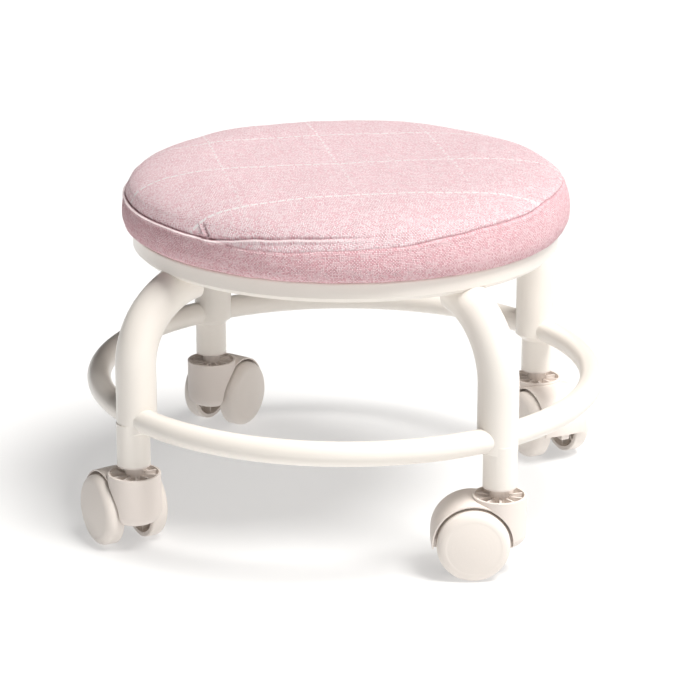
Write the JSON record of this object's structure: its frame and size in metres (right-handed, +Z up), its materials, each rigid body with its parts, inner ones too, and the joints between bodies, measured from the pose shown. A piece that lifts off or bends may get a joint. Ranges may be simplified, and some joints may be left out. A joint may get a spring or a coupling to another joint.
{
  "type": "pedicure stool",
  "caption": "Low round padded stool on a tubular steel frame with a foot ring and swivelling hooded twin-wheel casters.",
  "frame": {"origin": "on the floor under the centre of the seat", "axes": "+Z up; the legs stand on the diagonals between +X and +Y"},
  "size_m": [0.3504, 0.3504, 0.2394],
  "materials": {
    "cover_fabric": "heathered linen-look upholstery cloth with a fine woven check",
    "plywood": "plain birch plywood",
    "dust_cloth": "non-woven lining",
    "painted_steel": "cream powder coat, satin",
    "cream_plastic": "moulded nylon, satin",
    "wheel_plastic": "moulded nylon, satin",
    "zinc_steel": "bright zinc plate"
  },
  "bodies": {
    "frame": {"seat_cushion": "cover_fabric", "seat_board": "plywood", "dust_cloth": "dust_cloth", "seat_hoop": "painted_steel", "seat_tabs": "painted_steel", "seat_screws": "zinc_steel", "leg_front_left": "painted_steel", "leg_front_right": "painted_steel", "leg_back_right": "painted_steel", "leg_back_left": "painted_steel", "foot_ring_front": "painted_steel", "foot_ring_right": "painted_steel", "foot_ring_back": "painted_steel", "foot_ring_left": "painted_steel", "socket_front_left": "cream_plastic", "socket_front_right": "cream_plastic", "socket_back_right": "cream_plastic", "socket_back_left": "cream_plastic", "stem_front_left": "zinc_steel", "stem_front_right": "zinc_steel", "stem_back_right": "zinc_steel", "stem_back_left": "zinc_steel", "grip_rings": "zinc_steel"},
    "caster_front_left": {"housing_front_left": "cream_plastic", "axle_front_left": "zinc_steel"},
    "wheel_front_left_a": {"wheel_front_left_a": "wheel_plastic"},
    "wheel_front_left_b": {"wheel_front_left_b": "wheel_plastic"},
    "caster_front_right": {"housing_front_right": "cream_plastic", "axle_front_right": "zinc_steel"},
    "wheel_front_right_a": {"wheel_front_right_a": "wheel_plastic"},
    "wheel_front_right_b": {"wheel_front_right_b": "wheel_plastic"},
    "caster_back_right": {"housing_back_right": "cream_plastic", "axle_back_right": "zinc_steel"},
    "wheel_back_right_a": {"wheel_back_right_a": "wheel_plastic"},
    "wheel_back_right_b": {"wheel_back_right_b": "wheel_plastic"},
    "caster_back_left": {"housing_back_left": "cream_plastic", "axle_back_left": "zinc_steel"},
    "wheel_back_left_a": {"wheel_back_left_a": "wheel_plastic"},
    "wheel_back_left_b": {"wheel_back_left_b": "wheel_plastic"}
  },
  "joints": [
    {"name": "swivel_front_left", "type": "hinge", "parent": "frame", "child": "caster_front_left", "pos_m": [-0.1195, -0.1195, 0.045], "axis": [0, 0, 1], "continuous": true},
    {"name": "roll_front_left_a", "type": "hinge", "parent": "caster_front_left", "child": "wheel_front_left_a", "pos_m": [-0.13029, -0.10636, 0.0235], "axis": [-0.7727, -0.6347, 0], "continuous": true},
    {"name": "roll_front_left_b", "type": "hinge", "parent": "caster_front_left", "child": "wheel_front_left_b", "pos_m": [-0.13029, -0.10636, 0.0235], "axis": [-0.7727, -0.6347, 0], "continuous": true},
    {"name": "swivel_front_right", "type": "hinge", "parent": "frame", "child": "caster_front_right", "pos_m": [0.1195, -0.1195, 0.045], "axis": [0, 0, 1], "continuous": true},
    {"name": "roll_front_right_a", "type": "hinge", "parent": "caster_front_right", "child": "wheel_front_right_a", "pos_m": [0.10276, -0.12245, 0.0235], "axis": [0.1736, -0.9848, 0], "continuous": true},
    {"name": "roll_front_right_b", "type": "hinge", "parent": "caster_front_right", "child": "wheel_front_right_b", "pos_m": [0.10276, -0.12245, 0.0235], "axis": [0.1736, -0.9848, 0], "continuous": true},
    {"name": "swivel_back_right", "type": "hinge", "parent": "frame", "child": "caster_back_right", "pos_m": [0.1195, 0.1195, 0.045], "axis": [0, 0, 1], "continuous": true},
    {"name": "roll_back_right_a", "type": "hinge", "parent": "caster_back_right", "child": "wheel_back_right_a", "pos_m": [0.12952, 0.10577, 0.0235], "axis": [0.808, 0.5892, 0], "continuous": true},
    {"name": "roll_back_right_b", "type": "hinge", "parent": "caster_back_right", "child": "wheel_back_right_b", "pos_m": [0.12952, 0.10577, 0.0235], "axis": [0.808, 0.5892, 0], "continuous": true},
    {"name": "swivel_back_left", "type": "hinge", "parent": "frame", "child": "caster_back_left", "pos_m": [-0.1195, 0.1195, 0.045], "axis": [0, 0, 1], "continuous": true},
    {"name": "roll_back_left_a", "type": "hinge", "parent": "caster_back_left", "child": "wheel_back_left_a", "pos_m": [-0.1133, 0.13533, 0.0235], "axis": [-0.9311, 0.3649, 0], "continuous": true},
    {"name": "roll_back_left_b", "type": "hinge", "parent": "caster_back_left", "child": "wheel_back_left_b", "pos_m": [-0.1133, 0.13533, 0.0235], "axis": [-0.9311, 0.3649, 0], "continuous": true}
  ]
}
